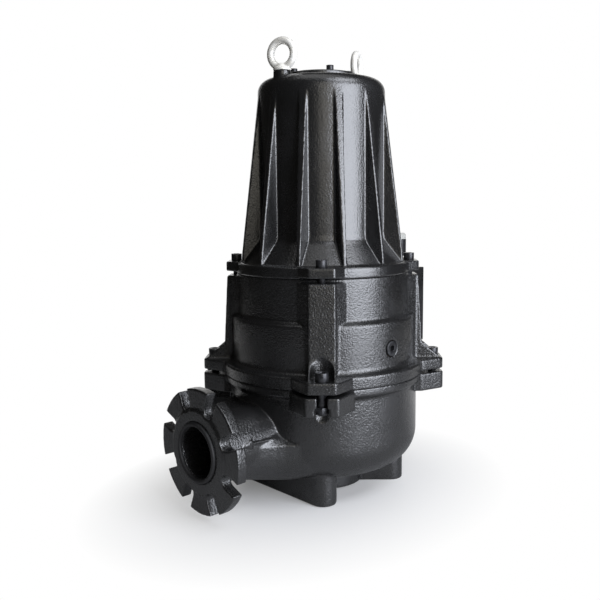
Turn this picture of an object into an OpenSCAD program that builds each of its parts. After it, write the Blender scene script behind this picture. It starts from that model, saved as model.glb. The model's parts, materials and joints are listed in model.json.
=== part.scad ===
/* [Stance and joint planes] */
// Height of the suction mouth above the floor
foot_drop = 2; // [1:0.5:10]
// Height of the discharge axis above the suction mouth
discharge_z = 109; // [107:1:116]
// Joint plane between volute and oil casing
joint_low = 200; // [198:1:210]
// Height of the oil casing, from joint plane to joint plane
casing_h = 172; // [168:1:186]
// Height of the motor housing above the upper joint plane
housing_h = 323; // [316:1:350]

/* [Volute] */
// Outer radius of the volute's wall
volute_r = 164; // [160:1:167]
// Wall thickness of the volute
volute_wall = 10; // [8:0.5:12]
// Radius of the rounding between wall and bottom
volute_round = 60; // [50:1:66]
// Height of the volute's bottom above the suction mouth
volute_bottom = 38; // [34:1:40]
// Outer radius of the volute's top band
band_r = 174; // [172:1:177]
// Height of the volute's top band
band_h = 11; // [8:1:14]
// Outer radius of the suction collar
collar_r = 69.5; // [66:0.5:72]
// Radius of the suction mouth
mouth_r = 45; // [38:1:47]
// Radius of the centre of each rounded end of the front foot
foot_front_r = 121.5; // [116:0.5:128]
// Radius of the centre of the rounded end of each rear foot
foot_rear_r = 119; // [112:1:124]
// Thickness of a foot
foot_t = 44; // [36:1:48]

/* [Discharge] */
// Bore of the discharge
bore_d = 80; // [70:1:84]
// Distance from the shaft axis to the flange face
flange_reach = 275; // [268:1:300]
// Sideways offset of the discharge axis
discharge_x = 0; // [0:1:10]
// Outer diameter of the flange
flange_d = 200; // [190:1:204]
// Thickness of the flange
flange_t = 20; // [18:1:24]
// Diameter of the raised face
face_d = 134; // [126:1:138]
// Height of the raised face
face_h = 3; // [2:0.5:4]
// Number of open slots in the flange
slot_n = 8; // [4:1:8]
// Width of a slot
slot_w = 23; // [16:1:24]
// Outer diameter of the seal ring around the bore
lip_d = 97; // [94:1:100]
// Radius of the centre of a slot's rounded bottom
slot_root_r = 77; // [76:0.5:80]
// Outer radius of the neck
neck_r = 56; // [52:1:58]
// Radius of the blend between neck and volute
blend_r = 100; // [70:5:110]

/* [Joint lugs] */
// Radius of the lower bolts
low_bolt_r = 193; // [190:1:195]
// Tip radius of the lower lugs
low_lug_r = 209; // [207:1:212]
// Width of a lower lug at its tip
low_lug_w = 52; // [48:1:58]
// Radius of the upper bolts
up_bolt_r = 150.5; // [149:0.5:152]
// Tip radius of the upper lugs
up_lug_r = 166; // [164:1:169]
// Width of an upper lug at its tip
up_lug_w = 46; // [42:1:50]
// Thread size of the lower cap screws
low_screw_d = 14; // [12:1:16]
// Thread size of the upper cap screws
up_screw_d = 12; // [10:1:12]

/* [Oil casing] */
// Outer radius of the lower joint ring
low_ring_r = 176; // [174:1:180]
// Thickness of the lower joint ring
low_ring_t = 21; // [18:1:24]
// Radius of the lower, wider part of the casing
casing_low_r = 159; // [156:1:162]
// Radius of the upper part of the casing
casing_up_r = 149; // [147:1:151]
// Height of the step between the two above the lower joint
casing_step = 101; // [92:1:106]
// Wall thickness of the casing
casing_wall = 12; // [9:0.5:13]
// Width of a pillar's outer face
pillar_w = 43; // [40:1:54]
// Width of a pillar where it meets the casing
pillar_root_w = 76; // [72:1:84]
// Radius of a pillar's outer face at its top
pillar_top_r = 165; // [164:1:167]
// Radius of a pillar's outer face above its foot
pillar_foot_r = 172; // [170:1:174]

/* [Motor housing] */
// Radius of the housing's core
core_r = 108; // [106:1:110]
// Radius of the ribs' outer line at the shoulder
rib_top_r = 107.5; // [106.5:0.5:110]
// Radius of the rib tips at the foot
rib_foot_r = 141; // [138:1:144]
// Thickness of a rib where it leaves the core
rib_t = 13; // [9:0.5:14]
// Thickness of a rib at its outer edge
rib_edge_t = 6; // [4:0.5:8]
// Number of ribs
rib_n = 12; // [8:4:12]
// Radius of the housing's joint ring
up_ring_r = 150; // [148:1:153]
// Thickness of the housing's joint ring
up_ring_t = 19; // [16:1:22]
// Radius of the rounded shoulder
shoulder_r = 22; // [16:1:26]
// Radius of the top cover
cover_r = 60; // [56:1:62]
// Thickness of the top cover
cover_t = 9.5; // [8:0.5:11]
// Thread size of the top cover screws
cover_screw_d = 8; // [6:1:8]

/* [Eyebolts] */
// Radius at which the eyebolts stand
eye_ring_r = 88; // [84:1:90]
// Outer diameter of the ring
eye_d = 54; // [50:1:56]
// Hole of the ring
eye_hole = 30; // [26:1:30]
// Turn of the front ring about its shank
eye_turn_front = 19; // [0:1:45]
// Turn of the rear ring about its shank
eye_turn_rear = -61; // [-75:1:0]

/* [Shaft and bearings] */
// Bore of the lower bearing
low_bearing_d = 40; // [38:1:42]
// Outer diameter of the lower bearing
low_bearing_od = 90; // [88:1:92]
// Width of the lower bearing
low_bearing_w = 23; // [21:1:24]
// Bore of the upper bearing
up_bearing_d = 30; // [28:1:30]
// Outer diameter of the upper bearing
up_bearing_od = 62; // [60:1:64]
// Width of the upper bearing
up_bearing_w = 16; // [15:1:18]
// Diameter of the shaft where it carries the impeller
impeller_seat_d = 30; // [28:1:32]
// Diameter of the shaft where it passes the seals
seal_d = 35; // [34:1:37]
// Diameter of the shaft inside the rotor core
rotor_shaft_d = 48; // [46:1:52]

/* [Hydraulics and motor] */
// Outer radius of the impeller
impeller_r = 104; // [96:1:108]
// Number of impeller vanes
vane_n = 2; // [2:1:3]
// Thickness of a vane
vane_t = 12; // [9:1:14]
// Radius of the impeller's eye ring
eye_ring_out = 51; // [50:0.5:52]
// Outer radius of the stator core
stator_r = 95; // [92:1:96]
// Bore radius of the stator core
stator_bore_r = 56; // [54:1:60]
// Length of the stator core
stator_h = 150; // [130:5:160]
// Air gap between rotor and stator
air_gap = 0.5; // [0.4:0.1:1]

/* [Cable entry] */
// Width of the cable box
box_w = 114; // [100:2:118]
// Gap between the cable box and the lower joint ring
box_gap = 7; // [6:0.5:20]
// Distance from the shaft axis to the cable box's back
box_reach = 212.5; // [206:0.5:216]
// Outer diameter of the cable gland
gland_d = 37; // [33:1:40]
// Diameter of the cable inlet through the gland
inlet_d = 16; // [12:1:18]

/* [Fits] */
// Gap of a located, fixed fit
seat_gap = 0.05; // [0.03:0.01:0.1]
// Gap of a running fit
run_gap = 0.3; // [0.2:0.05:0.5]
// Clearance of a screw in its hole, on the diameter
screw_play = 1.5; // [1:0.25:2]
// Height of the relief between a lug and what lies under it
lug_relief = 2.5; // [1.5:0.25:3]

/* [Hidden] */
$fn = 96;
eps = 0.01;
cut = 1;

// Levels along the shaft axis
joint_up = joint_low + casing_h;
housing_top = joint_up + housing_h;
low_ring_top = joint_low + low_ring_t;
box_top = joint_up - 4;
box_h = box_top - low_ring_top - box_gap;
up_ring_top = joint_up + up_ring_t;
chamber_floor = volute_bottom + volute_wall;
diagonals = [45, 135, 225, 315];

// Colours
paint = [0.10, 0.10, 0.11];
zinc = [0.80, 0.78, 0.70];
steel = [0.62, 0.63, 0.65];
dark_steel = [0.16, 0.16, 0.17];
rubber = [0.06, 0.06, 0.06];
copper = [0.72, 0.45, 0.25];
alu = [0.75, 0.76, 0.78];
carbon = [0.20, 0.20, 0.21];
brass = [0.78, 0.64, 0.32];

// Shared forms

// A trapezoid that grows outwards from the axis to a tip with cut corners
module lug_plan(tip_r, tip_w, root_r, root_w, corner = 4) {
    polygon([
        [0, -root_w / 2], [root_r, -root_w / 2], [tip_r - corner, -tip_w / 2], [tip_r, -tip_w / 2 + corner],
        [tip_r, tip_w / 2 - corner], [tip_r - corner, tip_w / 2], [root_r, root_w / 2], [0, root_w / 2]
    ]);
}

module on_diagonals() {
    for (a = diagonals)
        rotate(a)
            children();
}

// Points of an arc in a profile
function arc(cx, cy, r, a0, a1, n = 12) =
    [for (i = [0:n]) [cx + r * cos(a0 + (a1 - a0) * i / n), cy + r * sin(a0 + (a1 - a0) * i / n)]];

module ring(r_out, r_in, h) {
    difference() {
        cylinder(h = h, r = r_out);
        translate([0, 0, -cut])
            cylinder(h = h + 2 * cut, r = r_in);
    }
}

module torus(r_mid, r_cord) {
    rotate_extrude()
        translate([r_mid, 0])
            circle(r = r_cord, $fn = 32);
}

module hex_prism(across, h) {
    cylinder(h = h, d = across / cos(30), $fn = 6);
}

// Socket head cap screw: the head stands on z = 0 and the shank goes down
module cap_screw(d, len) {
    difference() {
        union() {
            cylinder(h = d, d = 1.5 * d, $fn = 48);
            translate([0, 0, -len])
                cylinder(h = len + eps, d = d, $fn = 48);
        }
        translate([0, 0, d * 0.5])
            hex_prism(0.78 * d, d);
    }
}

// Swan neck: sections of the blend that carries the neck into the volute

neck_steps = 12;
neck_from = -flange_reach + flange_t * 0.6;
neck_to = -volute_r * 0.62;
neck_side = discharge_x + neck_r - 2;
neck_far = discharge_x - neck_r + 2;
// Where the blend's curve leaves the neck and where it touches the volute
blend_from = -sqrt(pow(volute_r + blend_r, 2) - pow(neck_side + blend_r, 2));
blend_to = blend_from * volute_r / (volute_r + blend_r);
function neck_share(i) = i / neck_steps;
function neck_y(i) = neck_from + (neck_to - neck_from) * neck_share(i);
function neck_swell(i) = pow(neck_share(i), 2.4);
function neck_near(y) =
    y < blend_from ? neck_side
    : y < blend_to ? neck_side + blend_r - sqrt(pow(blend_r, 2) - pow(y - blend_from, 2))
    : sqrt(pow(volute_r - 1, 2) - y * y) - 0.35 * (y - blend_to);
function neck_dip(i) = let (t = min(1, max(0, neck_share(i) - 0.05) / 0.75)) t * t * (3 - 2 * t);
function neck_low(i) = discharge_z - neck_r + 2 - (discharge_z - neck_r + 2 - volute_bottom - 1) * neck_dip(i);
function rounded(v, power) = sign(v) * pow(abs(v), power);
// Round at the flange. Towards the volute the lower half grows full and the upper half flares at its foot
function neck_section(i) =
    let (near = neck_near(neck_y(i)), xc = (near + neck_far) / 2, half_w = (near - neck_far) / 2,
         low = discharge_z - neck_low(i), up = (neck_r - 3) * (1 - 0.55 * neck_swell(i)),
         full = 2 / (2 + neck_dip(i)))
    [for (k = [0:31])
        let (a = 360 * k / 32, s = sin(a), c = cos(a))
        s < 0 ? [xc + half_w * rounded(c, full), neck_y(i), discharge_z + low * rounded(s, full)]
              : [discharge_x + (neck_r - 2) * c + (c > 0 ? (near - neck_side) * pow(1 - s, 3) : 0), neck_y(i),
                 discharge_z + up * s]];

module neck_blend() {
    points = [for (i = [0:neck_steps]) each neck_section(i)];
    sides = [for (i = [0:neck_steps - 1], k = [0:31])
        [i * 32 + k, i * 32 + (k + 1) % 32, (i + 1) * 32 + (k + 1) % 32, (i + 1) * 32 + k]];
    first = [for (k = [31:-1:0]) k];
    last = [for (k = [0:31]) neck_steps * 32 + k];
    polyhedron(points, concat(sides, [first, last]), convexity = 4);
}

// Volute

volute_top = joint_low;
bore_len = 110;
low_nut_h = 11;
low_nut_af = 1.5 * low_screw_d;
lug_h = 30;
volute_lug_w = 56;
nut_seat = joint_low - 18;
pocket_r = 16;

module volute_outside() {
    rotate_extrude()
        polygon(concat(
            [[0, volute_bottom]],
            arc(volute_r - volute_round, volute_bottom + volute_round, volute_round, -90, 0, 16),
            [[volute_r, volute_top - band_h - 8], [band_r, volute_top - band_h], [band_r, volute_top], [0, volute_top]]));
}

module volute_inside() {
    inner_r = volute_r - volute_wall;
    inner_round = volute_round - volute_wall;
    rotate_extrude()
        polygon(concat(
            [[0, chamber_floor]],
            arc(inner_r - inner_round, chamber_floor + inner_round, inner_round, -90, 0, 16),
            [[inner_r, volute_top - 30], [plate_r, volute_top - 25], [plate_r, volute_top + cut], [0, volute_top + cut]]));
}

module foot_slab(length, height) {
    translate([0, 0, 0])
        cylinder(h = height, d = foot_t);
    translate([-length, -foot_t / 2, 0])
        cube([length, foot_t, height]);
}

module feet() {
    foot_top = volute_bottom + 20;
    // One long foot under the discharge side, round at both ends
    for (side = [-1, 1])
        mirror([side < 0 ? 1 : 0, 0, 0])
            translate([foot_front_r * cos(45), -foot_front_r * sin(45), -foot_drop])
                foot_slab(foot_front_r * cos(45), foot_drop + foot_top);
    // Two radial feet at the back
    for (a = [45, 135])
        rotate(a)
            translate([foot_rear_r, 0, -foot_drop])
                foot_slab(foot_rear_r - collar_r + 8, foot_drop + foot_top);
}

module flange_slots() {
    for (i = [0:slot_n - 1])
        rotate(360 / slot_n * (i + 0.5))
            translate([slot_root_r, 0, -cut]) {
                cylinder(h = flange_t + 2 * cut, d = slot_w, $fn = 48);
                translate([0, -slot_w / 2, 0])
                    cube([flange_d / 2, slot_w, flange_t + 2 * cut]);
            }
}

// Placed with its back on z = 0 and its face towards +z
module flange() {
    difference() {
        union() {
            cylinder(h = flange_t - face_h, d = flange_d);
            cylinder(h = flange_t, d = face_d);
        }
        flange_slots();
    }
}

module to_discharge() {
    translate([discharge_x, -flange_reach, discharge_z])
        rotate([90, 0, 0])
            translate([0, 0, -flange_t])
                children();
}

module neck_pad() {
    pad_t = 20;
    translate([discharge_x, -flange_reach, discharge_z + neck_r - 1 - pad_t])
        linear_extrude(pad_t)
            polygon([
                [-57, flange_t / 2], [4, flange_t / 2], [4, 74], [0, 99],
                [-57, 131], [-82, 102], [-82, flange_t + 40], [-57, flange_t + 20],
            ]);
}

// Web that joins the lug above the neck to the volute's wall
module neck_web() {
    web_t = 40;
    rotate([0, 0, 225])
        translate([volute_r - 14, -web_t / 2, joint_low - 52])
            cube([low_lug_r - 4 - (volute_r - 14), web_t, 34]);
}

// Rubber seal ring around the bore, seated in a groove of the raised face
lip_wall = 7.5;
lip_seat = 3;

module outlet_seal() {
    lip_r = lip_d / 2;
    color(rubber)
    to_discharge()
        translate([0, 0, flange_t])
            rotate_extrude()
                polygon(concat(
                    [[lip_r - lip_wall, -lip_seat], [lip_r, -lip_seat], [lip_r, 0]],
                    arc(lip_r - lip_wall / 2, 0.5, lip_wall / 2, 0, 180, 12),
                    [[lip_r - lip_wall, 0]]));
}

module volute_casing() {
    color(paint)
    difference() {
        union() {
            volute_outside();
            cylinder(h = chamber_floor, r = collar_r);
            feet();
            // Neck, its blend into the volute and its flat pad
            translate([discharge_x, -flange_reach + flange_t / 2, discharge_z])
                rotate([-90, 0, 0])
                    cylinder(h = flange_reach - volute_r * 0.8, r = neck_r);
            neck_blend();
            neck_pad();
            neck_web();
            to_discharge()
                flange();
            on_diagonals()
                translate([0, 0, volute_top - lug_h - lug_relief])
                    linear_extrude(lug_h)
                        lug_plan(low_lug_r, volute_lug_w, band_r - 4, volute_lug_w + 44, 3);
        }
        volute_inside();
        // Suction mouth and the seat of the wear ring
        translate([0, 0, -cut])
            cylinder(h = chamber_floor + 2 * cut, r = mouth_r);
        translate([0, 0, wear_seat])
            cylinder(h = chamber_floor - wear_seat + cut, r = wear_r + seat_gap);
        // Groove of the seal ring
        to_discharge()
            translate([0, 0, flange_t - lip_seat])
                ring(lip_d / 2 + seat_gap, lip_d / 2 - lip_wall - seat_gap, lip_seat + cut);
        // Discharge bore
        translate([discharge_x, -flange_reach - cut, discharge_z])
            rotate([-90, 0, 0])
                cylinder(h = bore_len + 2 * cut, d = bore_d);
        translate([discharge_x, -flange_reach + bore_len, discharge_z])
            rotate([-90, 0, 0])
                cylinder(h = 70, d = bore_d + 4);
        on_diagonals() {
            // Open slot for the bolt, wider below for its nut, and a rounded recess for the spanner
            translate([low_bolt_r, 0, volute_top - 60]) {
                cylinder(h = 60 + cut, d = low_screw_d + screw_play);
                translate([0, -(low_screw_d + screw_play) / 2, 30])
                    cube([40, low_screw_d + screw_play, 30 + cut]);
            }
            translate([low_bolt_r - low_nut_af / 2 - 2, -low_nut_af / 2 - 1, volute_top - lug_h - lug_relief - cut])
                cube([60, low_nut_af + 2, lug_h - 16 + cut]);
            translate([volute_r + pocket_r - 4, 0, volute_top - lug_h - lug_relief - 10]) {
                cylinder(h = 16, r = pocket_r);
                sphere(r = pocket_r);
            }
        }
    }
}

// Seal plate between the pump chamber and the oil chamber

plate_r = 150;
plate_t = 16;
plate_rim_r = 157;
plate_rim_t = 5;
oring_r = 1.9;
seat_out_low = 27;
seat_in = seal_d / 2 + 1.5;
plate_hub_r = 40;
plate_hub_top = joint_low + 8;

module seal_plate() {
    color(steel)
    difference() {
        union() {
            translate([0, 0, joint_low - plate_t])
                cylinder(h = plate_t, r = plate_r - seat_gap);
            translate([0, 0, joint_low])
                cylinder(h = plate_rim_t, r = plate_rim_r);
            translate([0, 0, joint_low - plate_t - 6])
                cylinder(h = plate_t + 14, r = plate_hub_r);
        }
        translate([0, 0, joint_low - plate_t - 6 - cut])
            cylinder(h = plate_t + 16, r = seal_d / 2 + 2);
        translate([0, 0, plate_hub_top - 10])
            cylinder(h = 10 + cut, r = seat_out_low + seat_gap);
        translate([0, 0, joint_low - plate_t / 2])
            ring(plate_r + cut, plate_r - 2 * oring_r - 0.2, 2 * oring_r + 0.2);
    }
}

module seal_plate_oring() {
    color(rubber)
    translate([0, 0, joint_low - plate_t / 2 + oring_r + 0.1])
        torus(plate_r - oring_r - 0.1, oring_r);
}

// Wear ring in the suction mouth

wear_seat = 22;
wear_r = 60;

module suction_wear_ring() {
    color(steel)
    translate([0, 0, wear_seat])
        ring(wear_r, eye_ring_out + run_gap, chamber_floor + 4 - wear_seat);
}

// Oil casing

web_z = 101;
web_t = 14;
web_low = joint_low + web_z;
web_top = web_low + web_t;
bearing_low_z = joint_low + 108;
bearing_top_z = bearing_low_z + low_bearing_w;
hub_r = low_bearing_od / 2 + 14;
hub_low = bearing_low_z - 24;
spigot_r = casing_up_r - casing_wall;
spigot_h = 8;
plug_angle = 0.5;
plug_z = joint_low + 55;
plug_r = 12.5;
plug_seat_r = casing_low_r - 1.5;
window_w = 60;
window_h = 36;
window_z = joint_up - 38;
box_face = casing_up_r + 12;

module pillar() {
    gusset_low = low_ring_top - 1;
    gusset_top = joint_low + 48;
    pillar_top = joint_up - 5;
    foot_w = pillar_w;
    // Pillar with drafted outer face: a side profile cut to a trapezoid in plan
    intersection() {
        rotate([90, 0, 0])
            translate([0, 0, -pillar_root_w / 2 - cut])
                linear_extrude(pillar_root_w + 2 * cut)
                    polygon([
                        [casing_up_r - 20, joint_low + 4], [low_lug_r - 14, joint_low + 4],
                        [low_lug_r - 4, gusset_low], [low_lug_r - 5, gusset_low + 2],
                        [pillar_foot_r, gusset_top], [pillar_top_r, pillar_top - 2],
                        [pillar_top_r - 2, pillar_top], [casing_up_r - 20, pillar_top]
                    ]);
        translate([0, 0, joint_low])
            linear_extrude(casing_h)
                polygon([
                    [0, -pillar_root_w / 2], [casing_up_r - 4, -pillar_root_w / 2], [pillar_top_r - 3, -pillar_w / 2],
                    [low_lug_r, -foot_w / 2], [low_lug_r, foot_w / 2],
                    [pillar_top_r - 3, pillar_w / 2], [casing_up_r - 4, pillar_root_w / 2], [0, pillar_root_w / 2]
                ]);
    }
}

module oil_casing_outside() {
    step_z = joint_low + casing_step;
    rotate_extrude()
        polygon(concat(
            [[0, joint_low], [low_ring_r, joint_low], [low_ring_r, low_ring_top - 2], [low_ring_r - 2, low_ring_top]],
            arc(casing_low_r + 7, low_ring_top + 7, 7, -90, -180, 4),
            [[casing_low_r, step_z - 8]],
            arc(casing_low_r - 4, step_z - 5, 4, 0, 60, 3),
            [[casing_up_r, step_z + 3], [casing_up_r, joint_up], [0, joint_up]]));
    on_diagonals() {
        pillar();
        translate([0, 0, joint_low + lug_relief])
            linear_extrude(low_ring_t - lug_relief)
                lug_plan(low_lug_r, low_lug_w, low_ring_r - 3, low_lug_w + 42, 5);
    }
    // Flat cast face that carries the cable box
    translate([-box_w / 2, 0, box_top - box_h])
        cube([box_w, box_face, box_h]);
}

module oil_casing_inside() {
    low_in = casing_low_r - casing_wall;
    // Oil chamber
    translate([0, 0, joint_low - cut])
        cylinder(h = web_z + cut, r = low_in);
    translate([0, 0, joint_low - cut])
        cylinder(h = plate_rim_t + 0.1 + cut, r = plate_rim_r + 0.3);
    // Motor side
    translate([0, 0, web_top])
        cylinder(h = casing_h, r = spigot_r);
}

module oil_casing() {
    color(paint)
    difference() {
        union() {
            difference() {
                oil_casing_outside();
                oil_casing_inside();
            }
            translate([0, 0, hub_low])
                cylinder(h = bearing_top_z - hub_low - 0.3, r = hub_r);
        }
        // Upper seal's seat, shaft passage and bearing seat
        translate([0, 0, hub_low - cut])
            cylinder(h = 12 + cut, r = seat_out_low + seat_gap);
        translate([0, 0, hub_low])
            cylinder(h = bearing_top_z - hub_low, r = seal_d / 2 + 5);
        translate([0, 0, bearing_low_z - 5])
            cylinder(h = 5 + cut, r = low_bearing_od / 2 - 8);
        translate([0, 0, bearing_low_z])
            cylinder(h = low_bearing_w + cut, r = low_bearing_od / 2 + seat_gap);
        for (a = [45:90:315])
            rotate(a)
                translate([low_bearing_od / 2 + 7, 0, bearing_top_z - 16])
                    cylinder(h = 20, d = 6.1, $fn = 32);
        on_diagonals() {
            // Lower bolt with a scalloped pocket for its head
            translate([low_bolt_r, 0, joint_low - cut])
                cylinder(h = low_ring_t + 2 * cut, d = low_screw_d + screw_play, $fn = 48);
            translate([low_bolt_r, 0, low_ring_top]) {
                cylinder(h = 34, r = 18.5);
                translate([0, -18.5, 0])
                    cube([40, 37, 60]);
            }
            translate([low_bolt_r - 5, 0, low_ring_top])
                cylinder(h = 24, r = 18.5);
            translate([low_bolt_r - 5, 0, low_ring_top + 24])
                sphere(r = 18.5);
            // Tapped hole for the upper cap screw
            translate([up_bolt_r, 0, joint_up - 30])
                cylinder(h = 30 + cut, d = up_screw_d + 0.1, $fn = 48);
        }
        // Oil plug seats
        for (a = [plug_angle, plug_angle + 180])
            rotate(a)
                translate([0, 0, plug_z])
                    rotate([0, 90, 0]) {
                        cylinder(h = casing_low_r + cut, d = 20.1);
                        translate([0, 0, plug_seat_r - 4])
                            cylinder(h = 20, r = plug_r + 1);
                    }
        // Cable window and the tapped holes of the cable box
        translate([-window_w / 2, spigot_r - 12, window_z - window_h / 2])
            cube([window_w, box_face - spigot_r + 12 + cut, window_h]);
        box_screw_places()
            rotate([-90, 0, 0])
                cylinder(h = 20, d = 8.1, center = true, $fn = 32);
    }
}

module box_screw_places() {
    for (x = [-1, 1], z = [0, 1])
        translate([x * (box_w / 2 - 9), box_face, box_top - 10 - z * (box_h - 20)])
            children();
}

module oil_plugs() {
    color(dark_steel)
    for (a = [plug_angle, plug_angle + 180])
        rotate(a)
            translate([plug_seat_r - 2.5, 0, plug_z])
                rotate([0, 90, 0])
                    difference() {
                        union() {
                            cylinder(h = 4.5, r = plug_r);
                            translate([0, 0, -12])
                                cylinder(h = 12.5, d = 20);
                        }
                        translate([0, 0, -4])
                            hex_prism(10, 12);
                    }
}

module oil_plug_washers() {
    color(copper)
    for (a = [plug_angle, plug_angle + 180])
        rotate(a)
            translate([plug_seat_r - 4, 0, plug_z])
                rotate([0, 90, 0])
                    ring(plug_r, 10.1, 1.5);
}

// Seals on the shaft

low_seat_z = plate_hub_top - 10;
low_seat_top = plate_hub_top + 2;
up_seat_top = hub_low + 12;
up_seat_low = hub_low - 2;
seal_ring_h = 11;
seal_ring_out = 25;

module lower_seal_seat() {
    color(carbon)
    translate([0, 0, low_seat_z])
        ring(seat_out_low, seat_in, low_seat_top - low_seat_z);
}

module lower_seal_ring() {
    color(steel)
    translate([0, 0, low_seat_top + 0.02])
        ring(seal_ring_out, seal_d / 2 + 0.02, seal_ring_h);
}

module upper_seal_seat() {
    color(carbon)
    translate([0, 0, up_seat_low])
        ring(seat_out_low, seat_in, up_seat_top - up_seat_low);
}

module upper_seal_ring() {
    color(steel)
    translate([0, 0, up_seat_low - seal_ring_h - 0.02])
        ring(seal_ring_out, seal_d / 2 + 0.02, seal_ring_h);
}

spring_low = low_seat_top + seal_ring_h + 0.2;
spring_top = up_seat_low - seal_ring_h - 0.2;
spring_wire = 3;
spring_turns = 5;
spring_steps = 20;

// Helical spring between the two rotating seal rings
module seal_spring() {
    n = spring_turns * spring_steps;
    r = seal_d / 2 + 1 + spring_wire / 2;
    rise = spring_top - spring_low - spring_wire;
    function helix(i) = [r * cos(360 * i / spring_steps), r * sin(360 * i / spring_steps),
        spring_low + spring_wire / 2 + rise * i / n];
    points = [for (i = [0:n], k = [0:7])
        let (a = 360 * i / spring_steps, b = 45 * k, c = helix(i), w = spring_wire / 2 / cos(22.5) * 0.95)
        [c[0] + w * cos(b) * cos(a), c[1] + w * cos(b) * sin(a), c[2] + w * sin(b)]];
    sides = [for (i = [0:n - 1], k = [0:7])
        [i * 8 + (k + 1) % 8, i * 8 + k, (i + 1) * 8 + k, (i + 1) * 8 + (k + 1) % 8]];
    color(steel)
    polyhedron(points, concat(sides, [[for (k = [0:7]) k]], [[for (k = [7:-1:0]) n * 8 + k]]), convexity = 10);
}

// Shaft

shaft_end = discharge_z + 6;
impeller_step = joint_low - 30;
rotor_low = joint_up + 93;
up_bearing_z = housing_top - 52;
shaft_top = up_bearing_z + up_bearing_w + 4;
circlip_z = bearing_low_z - 2.4;

module shaft() {
    color(steel)
    difference() {
        rotate_extrude()
            polygon([
                [0, shaft_end], [impeller_seat_d / 2 - 1, shaft_end], [impeller_seat_d / 2, shaft_end + 1],
                [impeller_seat_d / 2, impeller_step], [seal_d / 2, impeller_step], [seal_d / 2, circlip_z - 6],
                [low_bearing_d / 2, circlip_z - 6], [low_bearing_d / 2, circlip_z], [low_bearing_d / 2 - 1, circlip_z],
                [low_bearing_d / 2 - 1, bearing_low_z], [low_bearing_d / 2, bearing_low_z],
                [low_bearing_d / 2, bearing_top_z], [rotor_shaft_d / 2, bearing_top_z],
                [rotor_shaft_d / 2, rotor_low - 20], [rotor_shaft_d / 2, up_bearing_z - 14],
                [up_bearing_d / 2 + 3, up_bearing_z - 10], [up_bearing_d / 2 + 3, up_bearing_z],
                [up_bearing_d / 2, up_bearing_z], [up_bearing_d / 2, shaft_top - 1],
                [up_bearing_d / 2 - 1, shaft_top], [0, shaft_top]
            ]);
        // Tapped hole for the impeller screw and the keyway
        translate([0, 0, shaft_end - cut])
            cylinder(h = 30 + cut, d = 12.1, $fn = 48);
        translate([impeller_seat_d / 2 - 4, -4.02, key_z])
            cube([20, 8.04, key_h]);
    }
}

module shaft_circlips() {
    color(dark_steel)
    translate([0, 0, circlip_z + 0.05])
        ring(low_bearing_d / 2 + 4, low_bearing_d / 2 - 0.9, 2.2);
}

key_z = shaft_end + 8;
key_h = 36;

module impeller_key() {
    color(steel)
    translate([impeller_seat_d / 2 - 3.95, -3.95, key_z + 0.1])
        cube([7, 7.9, key_h - 0.2]);
}

// Impeller

hub_bottom = shaft_end - 3;
back_low = discharge_z + 34;
back_top = back_low + 8;
eye_low = wear_seat + 2;
eye_in = mouth_r - 2;
shroud_z = chamber_floor + 27;

module impeller_front_shroud() {
    rotate_extrude()
        polygon([
            [eye_in, eye_low], [eye_ring_out, eye_low], [eye_ring_out, chamber_floor + 10],
            [eye_ring_out + 8, shroud_z - 12], [impeller_r * 0.75, shroud_z], [impeller_r, shroud_z + 4],
            [impeller_r, shroud_z + 10], [impeller_r * 0.75, shroud_z + 7], [eye_in + 9, shroud_z - 2], [eye_in, chamber_floor + 12]
        ]);
}

module impeller_back() {
    rotate_extrude()
        polygon([
            [0, hub_bottom], [26, hub_bottom], [28, back_low - 14], [38, back_low - 3], [impeller_r * 0.7, back_low],
            [impeller_r, back_low], [impeller_r, back_top], [34, back_top], [30, impeller_step - 0.1], [0, impeller_step - 0.1]
        ]);
}

// One vane: half of a ring that leaves the eye and reaches the rim half a turn later
vane_root_r = 34;
vane_arc_r = (vane_root_r + impeller_r + 2) / 2;
vane_shift = vane_arc_r - vane_root_r;

module vane() {
    difference() {
        translate([-vane_shift, 0, chamber_floor])
            ring(vane_arc_r + vane_t / 2, vane_arc_r - vane_t / 2, back_top - chamber_floor);
        translate([-2 * impeller_r, 0, 0])
            cube([4 * impeller_r, 2 * impeller_r, 2 * back_top]);
    }
    translate([vane_root_r, 0, chamber_floor])
        cylinder(h = back_top - chamber_floor, d = vane_t, $fn = 48);
}

module impeller_vanes() {
    intersection() {
        for (k = [0:vane_n - 1])
            rotate(360 / vane_n * k)
                vane();
        rotate_extrude()
            polygon([
                [10, shroud_z], [eye_in - 2, shroud_z], [eye_in + 4, chamber_floor + 16],
                [eye_ring_out + 9, shroud_z - 5.5], [impeller_r * 0.75, shroud_z + 3.5], [impeller_r - 0.5, shroud_z + 7],
                [impeller_r - 0.5, back_low + 4], [10, back_low + 4]
            ]);
    }
}

module impeller() {
    color(steel)
    difference() {
        union() {
            impeller_front_shroud();
            impeller_back();
            impeller_vanes();
        }
        translate([0, 0, hub_bottom - cut])
            cylinder(h = 100, d = impeller_seat_d + 2 * seat_gap);
        translate([0, -4.02, key_z])
            cube([impeller_seat_d / 2 + 3.4, 8.04, 60]);
    }
}

module impeller_washer() {
    color(steel)
    translate([0, 0, hub_bottom - 5])
        ring(19, 6.5, 5);
}

module impeller_screw() {
    color(steel)
    translate([0, 0, hub_bottom - 5])
        mirror([0, 0, 1])
            cap_screw(12, 30);
}

// Ball bearings: inner and outer ring share a groove that clears the balls

module bearing_outer(od, bore, w, ball_d) {
    pitch = (od + bore) / 4;
    difference() {
        ring(od / 2, pitch + ball_d * 0.28, w);
        translate([0, 0, w / 2])
            torus(pitch, ball_d / 2 + 0.1);
    }
}

module bearing_inner(od, bore, w, ball_d) {
    pitch = (od + bore) / 4;
    difference() {
        ring(pitch - ball_d * 0.28, bore / 2 + 0.01, w);
        translate([0, 0, w / 2])
            torus(pitch, ball_d / 2 + 0.1);
    }
}

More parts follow.
